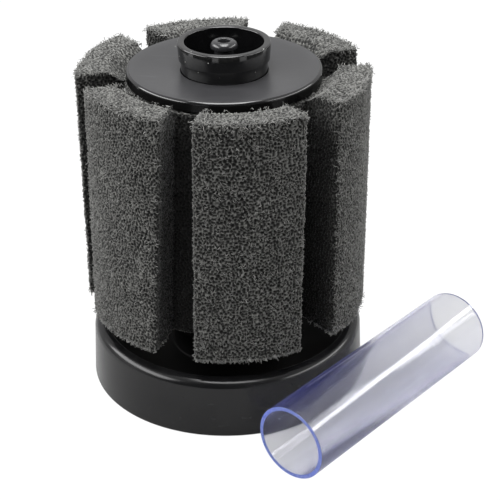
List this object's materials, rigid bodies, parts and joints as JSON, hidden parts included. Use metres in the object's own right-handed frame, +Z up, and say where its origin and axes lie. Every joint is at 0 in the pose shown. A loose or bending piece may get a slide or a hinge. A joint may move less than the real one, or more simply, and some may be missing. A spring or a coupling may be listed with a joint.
{
  "type": "air-driven sponge filter",
  "caption": "Aquarium sponge filter: weighted round base, slotted strainer, six-finned foam, disc cap with tube socket and airline nozzle, and a loose clear lift tube.",
  "frame": {"origin": "on the filter's vertical axis, at the centre of the base's flat underside", "axes": "+Z up along the filter's axis, towards the tube socket; the loose lift tube lies on the floor on the +X, -Y side, and -Y is the side seen from in front"},
  "size_m": [0.1046, 0.0946, 0.0919],
  "materials": {
    "base_black": "satin gloss, moulded",
    "cover_black": "matt, moulded",
    "ballast_iron": "rough cast",
    "strainer_black": "satin, moulded",
    "foam_grey": "open-cell reticulated foam",
    "cap_black": "semi-gloss, moulded",
    "collar_black": "gloss, moulded",
    "nozzle_grey": "gloss, moulded",
    "stem_black": "satin, extruded",
    "diffuser_grey": "fine grained",
    "clear_tube": "clear extruded acrylic, faint violet tint"
  },
  "bodies": {
    "base": {"base_dish": "base_black", "base_cover": "cover_black", "ballast_ring": "ballast_iron"},
    "strainer": {"strainer_tube": "strainer_black"},
    "foam": {"foam_block": "foam_grey"},
    "cap": {"top_cap": "cap_black"},
    "collar": {"outlet_collar": "collar_black"},
    "airline": {"airline_nozzle": "nozzle_grey", "air_stem": "stem_black", "air_diffuser": "diffuser_grey"},
    "tube": {"lift_tube": "clear_tube"}
  },
  "joints": [
    {"name": "strainer_pull", "type": "slide", "parent": "base", "child": "strainer", "axis": [0, 0, 1], "range_m": [0, 0.02]},
    {"name": "foam_slide", "type": "slide", "parent": "strainer", "child": "foam", "axis": [0, 0, 1], "range_m": [0, 0.065]},
    {"name": "cap_lift", "type": "slide", "parent": "foam", "child": "cap", "axis": [0, 0, 1], "range_m": [0, 0.06]},
    {"name": "collar_pull", "type": "slide", "parent": "cap", "child": "collar", "axis": [0, 0, 1], "range_m": [0, 0.015]},
    {"name": "nozzle_lift", "type": "slide", "parent": "collar", "child": "airline", "axis": [0, 0, 1], "range_m": [0, 0.065]},
    {"name": "tube_pick_up", "type": "slide", "parent": "base", "child": "tube", "axis": [0, 0, 1], "range_m": [0, 0.1]}
  ]
}
